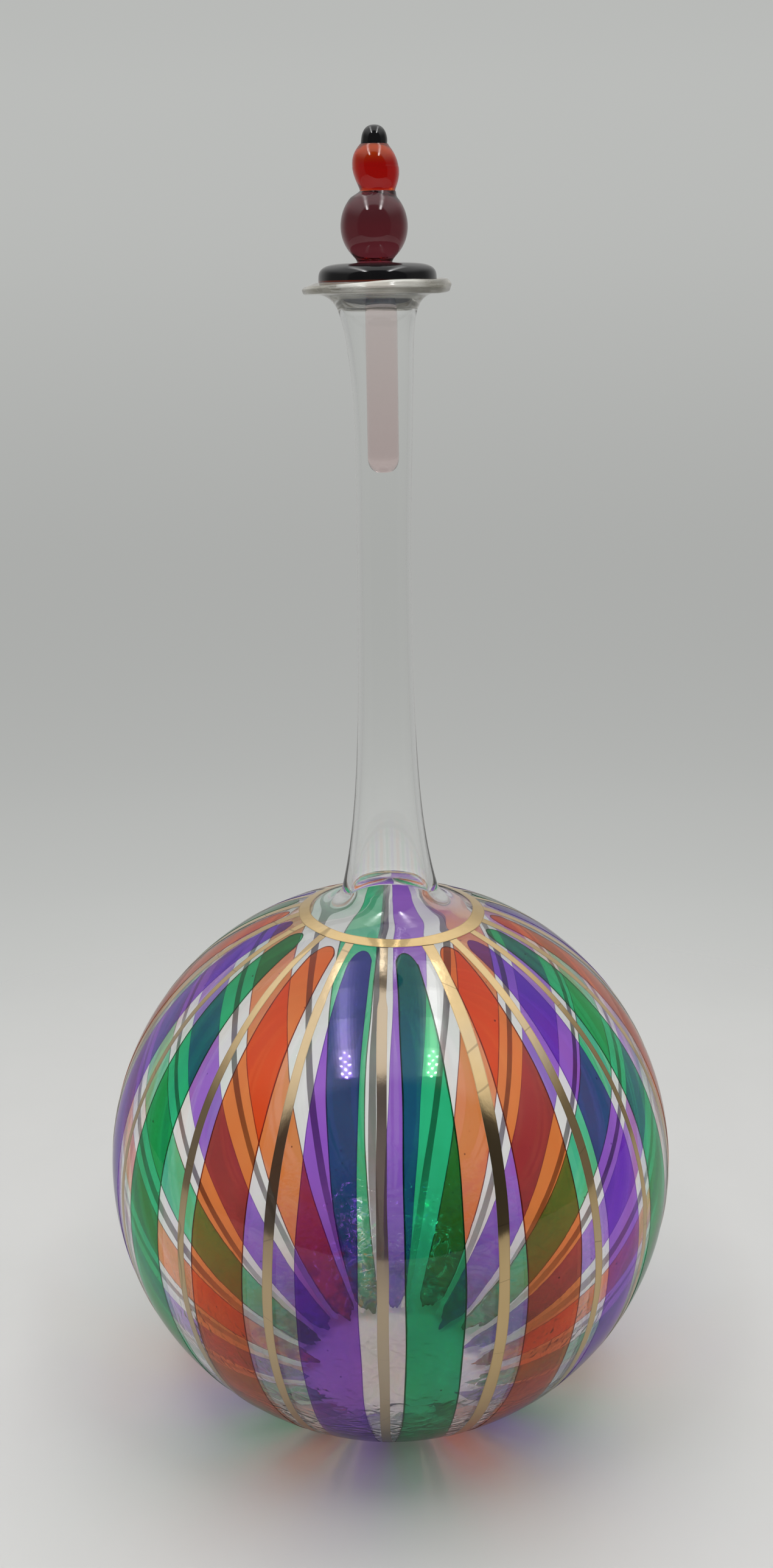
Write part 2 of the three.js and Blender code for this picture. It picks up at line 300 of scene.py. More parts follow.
def neck_sway(radius, height):
    """How far the drawn neck stands to the right of the globe's axis: most at its seat and below the
    mouth, nothing at the lip, and fading out over the shoulder."""
    up = np.maximum(height, NECK_SEAT)
    seat = SEAT_SWAY * np.exp((NECK_SEAT - up) / SEAT_SWAY_LENGTH)
    mouth = MOUTH_SWAY * np.exp(-((up - MOUTH_SWAY_HEIGHT) / MOUTH_SWAY_LENGTH) ** 2)
    neck = (1 - smooth(226, 246, height)) * smooth(100, 112, height)
    return (SWAY + seat + mouth) * neck * (1 - smooth(11.5, 17.2, radius))


def wrinkles(x, y):
    """The uneven bottom inside: nine plane waves 6 to 15 mm long in scattered directions, added up and
    divided by the root of their count."""
    rng = np.random.default_rng(11)
    heading, phase = rng.uniform(0, TURN, (2, 9))
    length = rng.uniform(6, 15, 9)
    run = x[..., None] * np.cos(heading) + y[..., None] * np.sin(heading)
    return np.sin(TURN * run / length + phase).sum(-1) / 3


def lip_runs(bearing):
    """The folded lip: under side, rim and seat. It is thick at the right and thins to a drooping edge at
    the left, and its rim is ribbed by the turns of the thread that it was wound from."""
    side = np.sin(bearing)
    rim = RIM_THICKNESS + RIM_UNEVENNESS * side + 0.1 * np.sin(3 * bearing + 0.8)
    floor = NECK_TOP + LIP_FLARE_HEIGHT + 0.1 * np.sin(2 * bearing + 2.2) + 0.05 * np.sin(5 * bearing)
    reach = DISC_RADIUS + LIP_OVERHANG + 0.1 * np.sin(4 * bearing + 1.0) + 0.08 * side * np.sin(13 * bearing)
    lean = math.radians(LIP_FLARE_START)
    start = neck_radius(NECK_TOP) + LIP_FLARE_WIDTH * math.cos(lean)
    rise = (floor - NECK_TOP) / (1 - math.sin(lean))
    under = ellipse(start, floor - rise, LIP_FLARE_WIDTH, rise, 180 - LIP_FLARE_START, 90, 12)
    angle = np.linspace(-math.pi / 2, math.pi / 2, 24)[:, None]
    rib = 1 + 0.05 * np.sin(6 * angle + 1.5 * np.sin(2 * bearing + 0.5) + 1) * np.cos(angle)
    edge = (reach - rim / 2 + rim / 2 * rib * np.cos(angle), floor + rim / 2 + rim / 2 * rib * np.sin(angle))
    seat = np.linspace(DISC_RADIUS + LIP_SEAT_MARGIN, DISC_RADIUS - LIP_SEAT_WIDTH + 0.2, 4)[:, None]
    return [under, edge, (seat, seat * 0 + LIP_TOP)]


def glass_body():
    """The bottle's glass in one piece: foot, globe, shoulder, neck, folded lip, bore and inside.

    The profile runs up the outside and down the inside. The lip and the wall of the globe change with the
    bearing, and the neck sways, as hand work does."""
    sides = 128
    bearing = np.linspace(0, TURN, sides, endpoint=False)[None, :]
    foot = math.pi - polar_at(FOOT_RADIUS)
    neck_foot = NECK_SEAT + NECK_FOOT_HEIGHT
    shoulder = neck_join(neck_radius, SHOULDER_OUTSIDE, 0, 1.0)
    throat = neck_join(bore_radius, THROAT_OUTSIDE, GLOBE_WALL, 0.5)

    foot_turn = bend((FOOT_RADIUS - 2.2, 0.0), (FOOT_RADIUS - 0.1, 0.0), on_globe(foot - 0.035), 8)
    flat = np.linspace(0.6, FOOT_RADIUS - 2.4, 5)[:, None]
    outside_globe = on_globe(np.linspace(foot - 0.05, polar_at(SHOULDER_OUTSIDE), 132)[:-1, None])
    up = neck_foot + (NECK_TOP - neck_foot) * np.linspace(0, 1, 90)[1:-1, None]

    mouth = DISC_RADIUS - LIP_SEAT_WIDTH
    bore_top = neck_radius(NECK_TOP) - NECK_WALL
    funnel = ellipse(mouth, NECK_TOP, mouth - bore_top, LIP_TOP - NECK_TOP, 90, 180, 16)
    down = NECK_TOP + (neck_foot - NECK_TOP) * np.linspace(0, 1, 90)[1:-1, None]
    inner_polar = polar_at(THROAT_OUTSIDE, -GLOBE_WALL)
    polar = np.linspace(inner_polar, math.radians(178.6), 132)[1:, None]
    low = smooth(math.radians(118), math.radians(165), polar)
    across = GLOBE_RADIUS * np.sin(polar)
    uneven = wrinkles(across * np.sin(bearing), across * np.cos(bearing))
    thick = GLOBE_WALL + low * (0.6 + 0.2 * uneven) + 0.03 * np.sin(2 * bearing + 6 * polar)
    inside_radius, inside_height = on_globe(polar, -thick)
    floor_height = FOOT_THICKNESS + low * (0.35 + 0.25 * uneven)
    inside_height = np.where(low > 0.6, np.logaddexp(inside_height * 3, floor_height * 3) / 3, inside_height)

    runs = [
        (flat, flat * 0), foot_turn, outside_globe, shoulder, (neck_radius(up), up), *lip_runs(bearing),
        funnel, (bore_radius(down), down), (throat[0][::-1], throat[1][::-1]), (inside_radius, inside_height),
    ]
    spread = [[np.broadcast_to(a, (a.shape[0], sides)) for a in np.broadcast_arrays(*run)] for run in runs]
    radius, height = (np.concatenate([run[k] for run in spread]) for k in (0, 1))
    return turned_mesh("bottle_glass", radius, height, sides, neck_sway(radius, height), crease=50)


def painted_film(name, centre, top, foot, half_width, low, high, rows, columns):
    """A thin closed film on the globe: polar angle runs down from top(u) to foot(u) and bearing across by
    u from -1 to 1, times half_width(polar), about centre(polar). Its outer side lies at high, its inner
    side at low, and the two are joined all round. edge is the distance to the film's border in
    millimetres, run goes from 0 at its top to 1 at its foot, and inner is 1 on its inner side."""
    u = np.sin(np.linspace(-math.pi / 2, math.pi / 2, columns))[None, :]
    v = np.linspace(0, 1, rows)[:, None]
    start, stop = top(u), foot(u)
    polar = start + (stop - start) * v
    bearing = centre(polar) + u * half_width(polar)
    sheets = [around_axis(*on_globe(polar, outside), bearing) for outside in (high, low)]
    around = 2 * columns
    j = np.arange(columns - 1)
    cap = np.stack([j + 1, j, around - 1 - j, around - 2 - j], -1)
    quads = np.concatenate([ring_faces(rows, around), cap, cap[:, ::-1] + (rows - 1) * around])
    across = (1 - np.abs(u)) * half_width(polar) * on_globe(polar)[0]
    along = np.minimum(v, 1 - v) * (stop - start) * GLOBE_RADIUS
    return closed_mesh(name, both_sides(*sheets).reshape(-1, 3), quads, None, 40,
                       edge=both_sides(np.minimum(across, along)), run=both_sides(v + 0 * polar),
                       inner=both_sides(0 * polar, 0 * polar + 1))


def both_sides(outer, inner=None):
    """A row across a film's outer side, joined to the row back across its inner side."""
    inner = outer if inner is None else inner
    return np.concatenate([outer, inner[:, ::-1]], 1)


COLLAR_TOP = polar_at(NECK_FILLET_RADIUS) + COLLAR_FROM_NECK / GLOBE_RADIUS
COLLAR_FOOT = COLLAR_TOP + COLLAR_WIDTH / GLOBE_RADIUS
FOOT_EDGE = math.pi - polar_at(FOOT_RADIUS)


def collar_shift(bearing):
    """The gilded ring stands a little to the right of the axis: its polar angle grows on that side."""
    return COLLAR_SHIFT * np.sin(bearing) / GLOBE_RADIUS


def leaning(bearing, lean, polar):
    """A bearing that changes evenly with the polar angle, by lean degrees between top and equator."""
    return np.radians(bearing + lean * (polar / (math.pi / 2) - 1))


def stained_stripe(name, middle, lean, half, seed):
    """One stained panel: as wide at every level in degrees round, with a rounded top and a foot that ran
    out in soft lobes and one drip, and edges that waver a little by two sines of the polar angle."""
    rng = np.random.default_rng(seed)
    phase = rng.uniform(0, TURN, 6)
    start = COLLAR_FOOT + collar_shift(math.radians(middle)) + rng.uniform(1.2, 2.2) / GLOBE_RADIUS
    stop = FOOT_EDGE - rng.uniform(6.5, 10.0) / GLOBE_RADIUS
    skew = rng.uniform(-0.12, 0.12)
    drip, drip_place, drip_width = rng.uniform((0.0, -0.5, 0.25), (3.2, 0.5, 0.4))

    def top(u):
        return start + 4.6 / GLOBE_RADIUS * (1 - np.sqrt(1 - 0.94 * np.clip(u - skew, -1, 1) ** 2))

    def foot(u):
        lobes = np.sin(2.4 * u + phase[0]) + 0.7 * np.sin(7 * u + phase[1]) + 0.4 * np.sin(15 * u + phase[2])
        ran = drip * np.exp(-((u - drip_place) / drip_width) ** 2)
        return stop + (0.6 * lobes + ran - 3.6 * (1 - np.sqrt(1 - 0.96 * u ** 2))) / GLOBE_RADIUS

    def centre(polar):
        waver = 0.15 * np.sin(3 * polar + phase[3]) + 0.06 * np.sin(11 * polar + phase[4])
        return leaning(middle + waver, lean, polar)

    def half_width(polar):
        waver = 0.03 * np.sin(4 * polar + phase[5]) + 0.012 * np.sin(15 * polar + phase[0])
        return np.radians(half) * (1 + waver + 0.35 * smooth(math.radians(105), FOOT_EDGE, polar))

    return painted_film(name, centre, top, foot, half_width, FILM_LOW, FILM_HIGH, 120, 36)


def gold_line(name, bearing, lean, width, thin, seed):
    """One gilded brush line: about as wide in millimetres at every level, from under the collar to the
    foot, a little wider where the loaded brush was set down."""
    rng = np.random.default_rng(seed)
    phase = rng.uniform(0, TURN, 5)
    stop = FOOT_EDGE - rng.uniform(7.5, 10.0) / GLOBE_RADIUS

    def top(u):
        return COLLAR_FOOT + collar_shift(math.radians(bearing)) - 0.9 / GLOBE_RADIUS + 0 * u

    def foot(u):
        return stop + 0.4 / GLOBE_RADIUS * np.sin(4 * u + phase[0])

    def centre(polar):
        waver = 0.2 * np.sin(2.5 * polar + phase[1]) + 0.06 * np.sin(13 * polar + phase[2])
        return leaning(bearing + waver, lean, polar)

    def half_width(polar):
        swell = 1 + 0.08 * np.sin(5 * polar + phase[3]) + 0.03 * np.sin(19 * polar + phase[4])
        swell = swell - 0.5 * thin * (1 - smooth(math.radians(31), math.radians(34), polar))
        return width / 2 * (swell + 0.12 * np.exp(-5 * (polar - COLLAR_FOOT))) / on_globe(polar)[0]

    mesh = painted_film(name, centre, top, foot, half_width, GOLD_LOW, GOLD_HIGH, 120, 8)
    layer = mesh.attributes.new("thin", "FLOAT", "POINT")
    layer.data.foreach_set("value", np.full(len(mesh.vertices), thin))
    return mesh


def gold_collar():
    """The gilded ring: a flat band between two polar angles that waver by sines of the bearing, with its
    cross-section carried once round the globe."""
    around, columns = 240, 8
    bearing = np.linspace(0, TURN, around, endpoint=False)[:, None]
    share = np.linspace(0, 1, columns)[None, :]
    top = COLLAR_TOP + (0.12 * np.sin(3 * bearing + 1) + 0.06 * np.sin(8 * bearing)) / GLOBE_RADIUS
    foot = COLLAR_FOOT + (0.12 * np.sin(2 * bearing) + 0.06 * np.sin(11 * bearing + 2)) / GLOBE_RADIUS
    polar = top + (foot - top) * share + collar_shift(bearing)
    sheets = [around_axis(*on_globe(polar, outside), bearing) for outside in (COLLAR_HIGH, COLLAR_LOW)]
    edge = np.minimum(share, 1 - share) * (foot - top) * GLOBE_RADIUS
    return closed_mesh("gold_collar", both_sides(*sheets).reshape(-1, 3),
                       ring_faces(around, 2 * columns, closed=True), None, 40,
                       edge=both_sides(edge), inner=both_sides(0 * polar, 0 * polar + 1))


# Stopper pieces. A piece reaches a hair into the one below it, as fused glass has no gap.
FUSED = 0.06


def stopper_lean(height):
    """How far the hand-stacked gathers stand to the right of the axis: the lower bead a little to the
    left, and the upper bead leaning from the right at its foot back to the axis at the tip."""
    waist = node_box("stopper_upper_bead")[0][2]
    tip = node_box("stopper_tip")[0][2]
    stepped = LOWER_BEAD_SHIFT + UPPER_BEAD_STEP * smooth(waist - 1.2, waist + 0.2, height)
    leaned = stepped - UPPER_BEAD_LEAN * smooth(waist + 0.4, tip - 0.6, height)
    return leaned + TIP_STEP * smooth(tip - 0.6, tip + 1, height)


def bead(name, node, radius, below, ends, sinks):
    """A bead turned about the axis. Below its widest level it is one half of an ellipse and above it
    another, each of which would reach past its end by a sink, and the eighth powers of ellipse and
    waist add up, so that it flows into its waist."""
    lo, hi = node_box(node)
    foot, top = lo[2] - FUSED, hi[2]
    share = (1 - np.cos(np.linspace(0, math.pi, 80))[:, None]) / 2
    height = foot + (top - foot) * share
    widest = foot + below
    reach = np.where(height < widest, below + sinks[0], top - widest + sinks[1])
    waist = np.where(height < widest, ends[0], ends[1])
    swell = radius * np.sqrt(1 - ((height - widest) / reach) ** 2)
    outline = (swell ** 8 + waist ** 8) ** 0.125
    low, high = (np.array([[0.35], [0.7], [0.97]]) * outline[k] for k in (0, -1))
    radius = np.concatenate([low, outline, high[::-1]])
    height = np.concatenate([low * 0 + foot, height, high * 0 + top])
    return turned_mesh(name, radius, height, 96, stopper_lean(height))


def stopper_disc():
    """The disc and its boss: a superellipse crown from the rim to the bead's foot over a flat underside."""
    angle = np.linspace(0, math.pi / 2, 48)[:, None]
    power = 2 / DISC_SQUARENESS
    crown_width = DISC_RADIUS - LOWER_BEAD_FOOT_RADIUS
    crown_radius = LOWER_BEAD_FOOT_RADIUS + crown_width * np.clip(np.cos(angle), 0, 1) ** power
    crown_height = LIP_TOP + DISC_HEIGHT * np.sin(angle) ** power
    boss = np.array([[0.4], [ROD_RADIUS - 0.3], [ROD_RADIUS], [ROD_RADIUS], [ROD_RADIUS + 0.3]])
    boss_height = LIP_TOP + np.array([[-BOSS_LENGTH], [-BOSS_LENGTH], [0.3 - BOSS_LENGTH], [-0.3], [0.02]])
    under = np.linspace(ROD_RADIUS + 1.5, DISC_RADIUS - 0.4, 5)[:, None]
    flat = np.linspace(LOWER_BEAD_FOOT_RADIUS - 0.2, 0.4, 4)[:, None]
    radius = np.concatenate([boss, under, crown_radius, flat])
    height = np.concatenate([boss_height, under * 0 + LIP_TOP + 0.02, crown_height,
                             flat * 0 + LIP_TOP + DISC_HEIGHT])
    shift = np.concatenate([boss * 0 + ROD_SHIFT, under * 0 + DISC_SHIFT, crown_radius * 0 + DISC_SHIFT,
                            flat * 0 + DISC_SHIFT])
    return turned_mesh("stopper_disc", radius, height, 128, shift)


def stopper_rod():
    """The rod: a straight cylinder with an elliptical end, fused to the boss."""
    lo, _ = node_box("stopper_rod")
    top = LIP_TOP - BOSS_LENGTH + FUSED
    shaft_foot = lo[2] + ROD_TAPER
    end = ellipse(ROD_END_RADIUS, shaft_foot, ROD_RADIUS - ROD_END_RADIUS, ROD_TAPER, -90, 0, 24)
    shaft = np.linspace(shaft_foot, top, 40)[1:, None]
    flat_end = np.linspace(0.2, 0.9, 3)[:, None]
    flat_top = np.linspace(ROD_RADIUS - 0.3, 0.3, 3)[:, None]
    radius = np.concatenate([flat_end, end[0], shaft * 0 + ROD_RADIUS, flat_top])
    height = np.concatenate([flat_end * 0 + lo[2], end[1], shaft, flat_top * 0 + top])
    return turned_mesh("stopper_rod", radius, height, 72, ROD_SHIFT)


def stopper_tip():
    """The tip: half a superellipse on its foot, from powers a little under 1 of cosine and sine."""
    lo, hi = node_box("stopper_tip")
    foot = lo[2] - FUSED
    angle = np.linspace(0, math.radians(87), 32)[:, None]
    dome_radius = TIP_FOOT_RADIUS * np.cos(angle) ** TIP_POWER
    dome_height = foot + (hi[2] - foot) * np.sin(angle) ** TIP_POWER
    flat = np.linspace(0.3, TIP_FOOT_RADIUS - 0.15, 4)[:, None]
    radius = np.concatenate([flat, dome_radius])
    height = np.concatenate([flat * 0 + foot, dome_height])
    return turned_mesh("stopper_tip", radius, height, 72, stopper_lean(height))


# Shader expressions


class Wire:
    """A shader socket in an expression: an operator on it adds a Math node, and node adds any other."""

    def __init__(self, tree, socket=None):
        self.tree = tree
        self.socket = socket

    def node(self, kind, settings=None, out=0, **values):
        """A node of a kind. Its settings come first, a ramp's stops among them, then its sockets, by name
        with _ for a space or as in_0, in_1 by place, each a number, a colour or a wire."""
        made = self.tree.nodes.new("ShaderNode" + kind)
        for key, value in (settings or {}).items():
            if key == "stops":
                made.color_ramp.interpolation = "CARDINAL"
                ramp = made.color_ramp.elements
                while len(ramp) < len(value):
                    ramp.new(1)
                for stop, (place, colour) in zip(ramp, value):
                    stop.position, stop.color = place, (*colour, 1)
            else:
                setattr(made, key, value)
        for key, value in values.items():
            into = made.inputs[int(key[3:])] if key.startswith("in_") else made.inputs[key.replace("_", " ")]
            if isinstance(value, Wire):
                self.tree.links.new(value.socket, into)
            else:
                into.default_value = value
        return Wire(self.tree, made.outputs[out] if made.outputs else None)

    def out(self, name):
        """Another output of the same node."""
        return Wire(self.tree, self.socket.node.outputs[name])

    def math(self, operation, a, b=0.0):
        return self.node("Math", {"operation": operation}, in_0=a, in_1=b)

    def __add__(self, other):
        return self.math("ADD", self, other)

    def __radd__(self, other):
        return self.math("ADD", other, self)

    def __sub__(self, other):
        return self.math("SUBTRACT", self, other)

    def __rsub__(self, other):
        return self.math("SUBTRACT", other, self)

    def __mul__(self, other):
        return self.math("MULTIPLY", self, other)

    def __rmul__(self, other):
        return self.math("MULTIPLY", other, self)

    def __truediv__(self, other):
        return self.math("DIVIDE", self, other)

    def __neg__(self):
        return self.math("MULTIPLY", self, -1.0)

    def step(self, low, high):
        """0 below low, 1 above high and smooth between them."""
        settings = {"interpolation_type": "SMOOTHSTEP"}
        return self.node("MapRange", settings, Value=self, From_Min=low, From_Max=high)

    def blend(self, a, b):
        """Colour a where this is 0 and colour b where it is 1."""
        return self.node("Mix", {"data_type": "RGBA"}, 2, Factor=self, in_6=a, in_7=b)

    def shaders(self, a, b):
        """Shader a where this is 0 and shader b where it is 1."""
        return self.node("MixShader", in_0=self, in_1=a, in_2=b)


def rgb(red, green, blue):
    return (red, green, blue, 1.0)


def new_material(name):
    """An empty material, with a wire to build its nodes on."""
    material = bpy.data.materials.new(name)
    material.use_nodes = True
    material.node_tree.nodes.clear()
    return material, Wire(material.node_tree)


def show(build, surface):
    build.node("OutputMaterial", Surface=surface)


def noise(build, scale, detail=2.0, stretch=(1, 1, 1), roughness=0.5):
    """Noise from 0 to 1 on Object coordinates, at so many lumps a metre, stretched along an axis."""
    place = build.node("TexCoord").out("Object")
    turned = build.node("Mapping", Vector=place, Scale=stretch)
    return build.node("TexNoise", Vector=turned, Scale=scale, Detail=detail, Roughness=roughness)


def height_of(build):
    """The height of a point above the floor, in metres."""
    return build.node("SeparateXYZ", Vector=build.node("TexCoord").out("Object")).out("Z")


def attribute(build, name):
    return build.node("Attribute", {"attribute_name": name}).out("Fac")


def lets_lamps_through(build, surface, tint):
    """Glass that lamps shine through: their rays meet a clear tint in place of the bending glass."""
    clear = build.node("BsdfTransparent", Color=tint)
    show(build, build.node("LightPath").out("Is Shadow Ray").shaders(surface, clear))


def clear_glass():
    """Blown clear glass: a faint drawn grain up the neck, creases round the foot, a folded lip that is milky
    with trapped air, and lamps that shine through."""
    material, build = new_material("clear_glass")
    height = height_of(build) / MM
    grain = noise(build, 900, 1, (1, 1, 0.02)) * height.step(NECK_SEAT, NECK_SEAT + 10)
    ridge = noise(build, 110, 2, (1, 1, 2.2)) - 0.5
    crease = ridge.math("ABSOLUTE", ridge).step(0.0, 0.07) * (1 - height.step(14, 32))
    bump = build.node("Bump", Strength=0.03, Distance=0.0002, Height=grain)
    bump = build.node("Bump", Strength=0.09, Distance=0.0002, Height=10 * crease, Normal=bump)
    glass = build.node("BsdfPrincipled", Base_Color=rgb(0.994, 0.997, 0.994), Roughness=0.0, IOR=1.5,
                       Transmission_Weight=1.0, Normal=bump)
    streak = noise(build, 110, 1, (1, 1, 6))
    air = streak.step(0.3, 0.7).blend(rgb(0.22, 0.205, 0.165), rgb(0.60, 0.585, 0.52))
    milk = build.node("BsdfPrincipled", Base_Color=air, Roughness=0.15, IOR=1.5)
    folded = height.step(NECK_TOP + LIP_FLARE_HEIGHT - 0.5, NECK_TOP + LIP_FLARE_HEIGHT + 0.2)
    lip = (folded * (0.25 + 0.5 * streak)).shaders(glass, milk)
    lets_lamps_through(build, lip, rgb(0.965, 0.97, 0.967))
    return material


def stain(name, pale, full, pooled, body, border):
    """Transparent stain: each face passes the root of the tint, deeper at its ends, in soft clouds and
    where the stain pooled along its border and at its foot, with specks, a little body of its own and a
    glossy skin."""
    material, build = new_material(name)
    run = attribute(build, "run")
    cloud = noise(build, 28, 2)
    streak = noise(build, 240, 2, (1, 1, 0.1))
    ends = 0.4 * (1 - run.step(0.0, 0.2)) + 0.4 * run.step(0.7, 0.95)
    density = 0.35 + 0.6 * (cloud - 0.5) + 0.2 * (streak - 0.5) + ends
    width, strength = border
    wander = width * (0.6 + 0.8 * noise(build, 160, 1)) * (1 + 1.8 * run.step(0.93, 1.0))
    pool = strength * (1 - (attribute(build, "edge") / wander).step(0.35, 1.0))
    blot = 0.75 * run.step(0.86, 0.98) * noise(build, 150, 3).step(0.44, 0.6)
    place = build.node("TexCoord").out("Object")
    speck = 1 - build.node("TexVoronoi", Vector=place, Scale=210.0).step(0.03, 0.06)
    tint = density.step(0, 1).shaders(build.node("BsdfTransparent", Color=pale),
                                      build.node("BsdfTransparent", Color=full))
    dark = pool.math("MAXIMUM", pool, blot.math("MAXIMUM", blot, 0.7 * speck))
    tint = dark.shaders(tint, build.node("BsdfTransparent", Color=pooled))
    diffuse = build.node("BsdfPrincipled", Base_Color=body, Roughness=0.4, Specular_IOR_Level=0.0)
    solid = build.node("MixShader", in_0=0.015, in_1=tint, in_2=diffuse)
    bump = build.node("Bump", Strength=0.05, Distance=0.0002, Height=noise(build, 300, 2))
    gloss = build.node("BsdfGlossy", Color=rgb(1, 1, 1), Roughness=0.03, Normal=bump)
    entering = 1 - build.node("NewGeometry").out("Backfacing")
    show(build, (build.node("Fresnel", IOR=1.4) * entering).shaders(solid, gloss))
    return material


def gilding():
    """Burnished liquid gold: brushed along its length, darker at its border, worn grey in patches, ticked
    where two strokes meet, half clear where it is thin, and plain grey seen through the glass from behind."""
    material, build = new_material("gilding")
    brush = noise(build, 700, 3, (1, 1, 0.08))
    patch = noise(build, 90, 3)
    worn = noise(build, 34, 2).step(0.52, 0.68)
    front = (0.5 * brush + 0.5 * patch).blend(rgb(0.86, 0.64, 0.34), rgb(0.70, 0.49, 0.22))
    front = (0.5 * worn).blend(front, rgb(0.58, 0.51, 0.42))
    border = 1 - attribute(build, "edge").step(0.08, 0.22)
    front = (0.6 * border).blend(front, rgb(0.50, 0.34, 0.16))
    meeting = noise(build, 60, 0, (0.3, 0.3, 1)) - 0.5
    tick = 1 - meeting.math("ABSOLUTE", meeting).step(0.0006, 0.0025)
    front = (0.4 * tick).blend(front, rgb(0.10, 0.07, 0.04))
    thin = attribute(build, "thin")
    front = (0.8 * thin).blend(front, rgb(0.68, 0.58, 0.47))
    behind = patch.blend(rgb(0.38, 0.38, 0.36), rgb(0.52, 0.52, 0.50))
    inner = attribute(build, "inner").step(0.4, 0.6)
    bump = build.node("Bump", Strength=0.10, Distance=0.0002, Height=brush)
    gold = build.node("BsdfPrincipled", Base_Color=inner.blend(front, behind), Metallic=1 - 0.8 * inner,
                      Roughness=0.07 + 0.1 * patch + 0.25 * inner, Normal=bump)
    film = build.node("BsdfTransparent", Color=rgb(0.66, 0.58, 0.56))
    height = height_of(build) / MM
    clear = thin * (0.3 + 0.45 * height.step(60, 72) - 0.5 * height.step(84, 108))
    show(build, clear.shaders(gold, film))
    return material


def black_glass():
    """Fire-polished black glass, with painted light under the disc, slate blue for what shows through the
    lip's glass, and a dark red line where it meets the lip.
    """
    material, build = new_material("black_glass")
    bump = build.node("Bump", Strength=0.05, Distance=0.0003, Height=noise(build, 180, 1))
    shade = noise(build, 400, 2).blend(rgb(0.004, 0.004, 0.005), rgb(0.010, 0.010, 0.010))
    above = height_of(build) / MM - LIP_TOP
    seam = above.step(0.04, 0.1) * (1 - above.step(0.2, 0.45))
    shade = (0.7 * seam).blend(shade, rgb(0.16, 0.03, 0.015))
    # painted light: below the lip's top the black glass is painted slate blue, for the light its underside
    # and boss show through the lip's glass
    shade = (1 - above.step(0.03, 0.05)).blend(shade, rgb(0.11, 0.125, 0.16))
    glass = build.node("BsdfPrincipled", Base_Color=shade, Roughness=0.05, IOR=1.52, Normal=bump)
    show(build, glass)
    return material


def gathered_glass(build, colour, through, shadow):
    """A gather of coloured glass: so much of the light goes through it, and the rest it scatters."""
    bump = build.node("Bump", Strength=0.03, Distance=0.0003, Height=noise(build, 220, 1))
    glass = build.node("BsdfPrincipled", Base_Color=colour, Roughness=0.03, IOR=1.5,
                       Transmission_Weight=through, Normal=bump)
    lets_lamps_through(build, glass, shadow)


def amethyst_glass():
    """Amethyst with painted light: a paler wine red at its foot for light gathered through the bead, darkest
    in its middle, and lighter and dusky towards its top where light from above falls.
    """
    material, build = new_material("amethyst_glass")
    lo, hi = node_box("stopper_lower_bead")
    swirl = noise(build, 160, 2, (1, 1, 0.4)) - 0.5
    share = (height_of(build) / MM - lo[2]) / (hi[2] - lo[2]) + 0.2 * swirl
    # painted light: the bead's own colour is amethyst; its bands by height are painted, a paler foot for
    # light gathered through the bead and a lighter top for light from above
    colour = share.step(0.1, 0.45).blend(rgb(0.26, 0.045, 0.065), rgb(0.15, 0.022, 0.030))
    colour = share.step(0.45, 0.95).blend(colour, rgb(0.14, 0.045, 0.055))
    gathered_glass(build, colour, 0.93, rgb(0.5, 0.25, 0.3))
    return material


def red_glass():
    """Red: deep below, with painted light in orange over its upper third, orange over its left side, and an
    orange line at its foot.
    """
    material, build = new_material("red_glass")
    lo, hi = node_box("stopper_upper_bead")
    swirl = noise(build, 200, 2, (1, 1, 0.4)) - 0.5
    share = (height_of(build) / MM - lo[2]) / (hi[2] - lo[2]) + 0.2 * swirl
    place = build.node("SeparateXYZ", Vector=build.node("TexCoord").out("Object")).out("X") / MM
    # painted light: the orange over the upper third stands in for light from above on the bead; the same mask
    # also makes the left side orange
    painted_top_light_and_left_orange = share.math("MAXIMUM", share.step(0.55, 0.85), 0.8 * (-place + swirl).step(2.6, 4.2))
    colour = painted_top_light_and_left_orange.blend(rgb(0.50, 0.005, 0.003), rgb(0.62, 0.085, 0.008))
    colour = (1 - share.step(0.02, 0.07)).blend(colour, rgb(0.8, 0.14, 0.04))
    gathered_glass(build, colour, 0.9, rgb(0.8, 0.15, 0.1))
    return material


def pink_glass():
    """The rod's pale pink, a touch deeper down its length."""
    material, build = new_material("pink_glass")
    lo, hi = node_box("stopper_rod")
    share = (height_of(build) / MM - lo[2]) / (hi[2] - lo[2]) + 0.1 * (noise(build, 150, 2) - 0.5)
    colour = share.step(0.0, 1.0).blend(rgb(0.87, 0.71, 0.70), rgb(0.91, 0.79, 0.78))
    gathered_glass(build, colour, 1.0, rgb(0.97, 0.9, 0.9))
    return material


